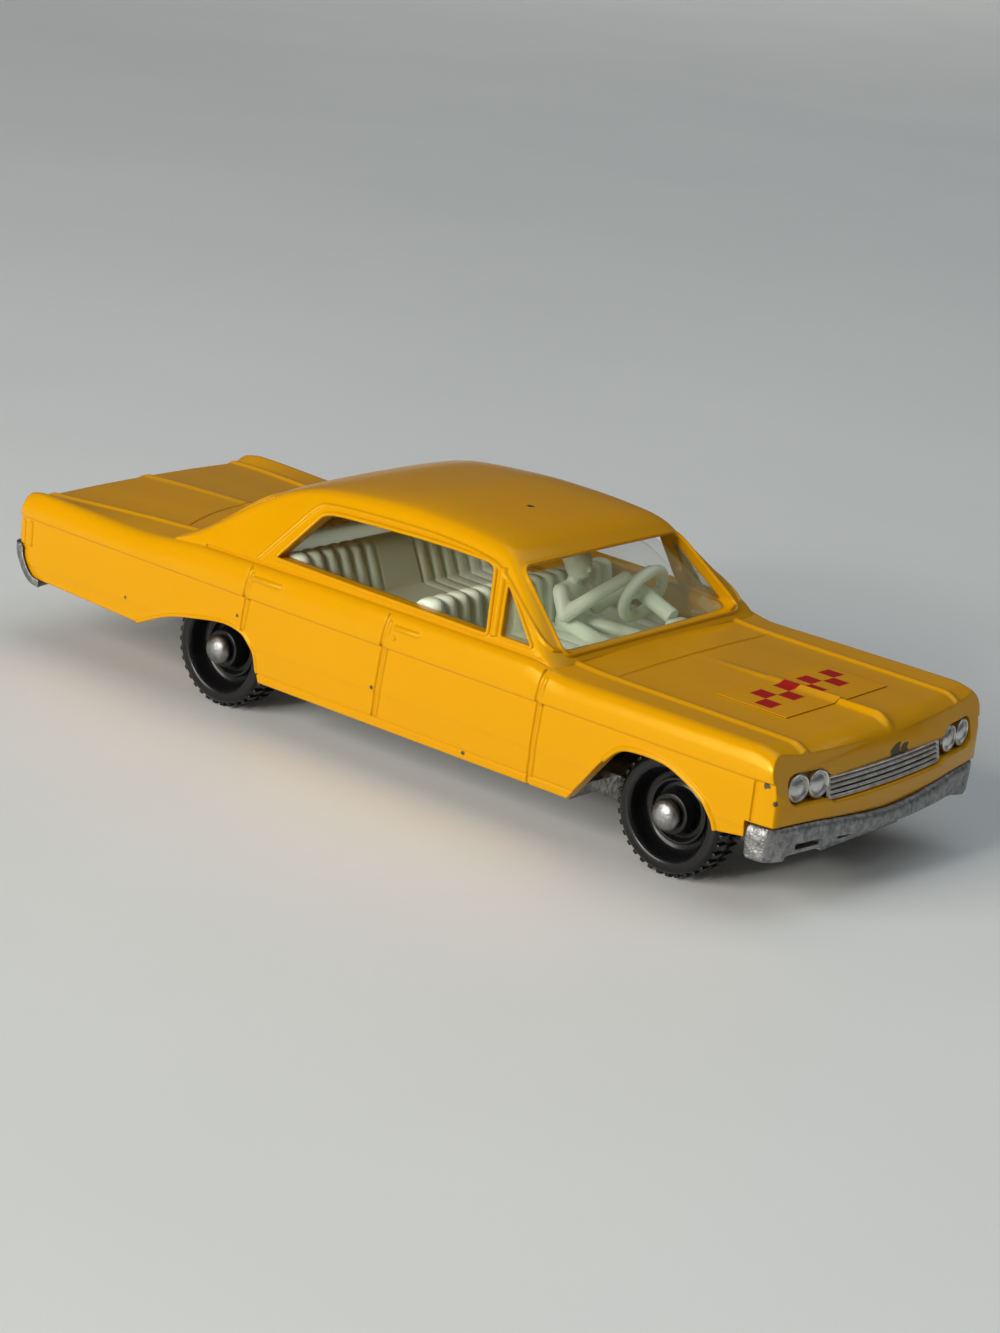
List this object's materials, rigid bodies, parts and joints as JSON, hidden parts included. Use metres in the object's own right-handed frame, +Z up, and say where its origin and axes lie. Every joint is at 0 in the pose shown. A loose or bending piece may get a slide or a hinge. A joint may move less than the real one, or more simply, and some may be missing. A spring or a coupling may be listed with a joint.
{
  "type": "toy taxi",
  "caption": "Die-cast toy saloon taxi with an orange-yellow body, moulded cabin with driver, clear glazing and black wheels that run free on wire axles.",
  "frame": {"origin": "on the ground under the middle of the part's box", "axes": "+X to the front of the car, +Y to its left, +Z up"},
  "size_m": [0.0788, 0.0274, 0.0204],
  "materials": {
    "body_paint": "gloss orange-yellow enamel over a zinc casting, with a few chips",
    "bare_casting": "bare zinc casting, slightly rough, with brighter worn edges",
    "axle_steel": "bright wire with domed heads",
    "wheel_plastic": "gloss black moulding",
    "cabin_plastic": "ivory moulding, slightly translucent",
    "clear_plastic": "clear with a faint yellow-green tint and fine scratches",
    "label": "thin label with a red check band"
  },
  "bodies": {
    "car_body": {"body_shell": "body_paint", "base_plate": "bare_casting", "front_bumper": "bare_casting", "rear_bumper": "bare_casting", "grille_panel": "bare_casting", "interior_tub": "cabin_plastic", "front_bench": "cabin_plastic", "rear_bench": "cabin_plastic", "driver_figure": "cabin_plastic", "steering_wheel": "cabin_plastic", "window_glazing": "clear_plastic", "hood_label": "label", "rivets": "axle_steel"},
    "front_axle": {"front_axle": "axle_steel"},
    "rear_axle": {"rear_axle": "axle_steel"},
    "wheel_front_left": {"wheel_front_left": "wheel_plastic"},
    "wheel_front_right": {"wheel_front_right": "wheel_plastic"},
    "wheel_rear_left": {"wheel_rear_left": "wheel_plastic"},
    "wheel_rear_right": {"wheel_rear_right": "wheel_plastic"}
  },
  "joints": [
    {"name": "front_axle_turn", "type": "hinge", "parent": "car_body", "child": "front_axle", "pos_m": [0.02805, 0, 0.0047], "axis": [0, 1, 0], "continuous": true},
    {"name": "front_left_wheel_spin", "type": "hinge", "parent": "front_axle", "child": "wheel_front_left", "pos_m": [0.02805, 0.01, 0.0047], "axis": [0, 1, 0], "continuous": true},
    {"name": "front_right_wheel_spin", "type": "hinge", "parent": "front_axle", "child": "wheel_front_right", "pos_m": [0.02805, -0.01, 0.0047], "axis": [0, 1, 0], "continuous": true},
    {"name": "rear_axle_turn", "type": "hinge", "parent": "car_body", "child": "rear_axle", "pos_m": [-0.01635, 0, 0.0047], "axis": [0, 1, 0], "continuous": true},
    {"name": "rear_left_wheel_spin", "type": "hinge", "parent": "rear_axle", "child": "wheel_rear_left", "pos_m": [-0.01635, 0.01, 0.0047], "axis": [0, 1, 0], "continuous": true},
    {"name": "rear_right_wheel_spin", "type": "hinge", "parent": "rear_axle", "child": "wheel_rear_right", "pos_m": [-0.01635, -0.01, 0.0047], "axis": [0, 1, 0], "continuous": true}
  ]
}
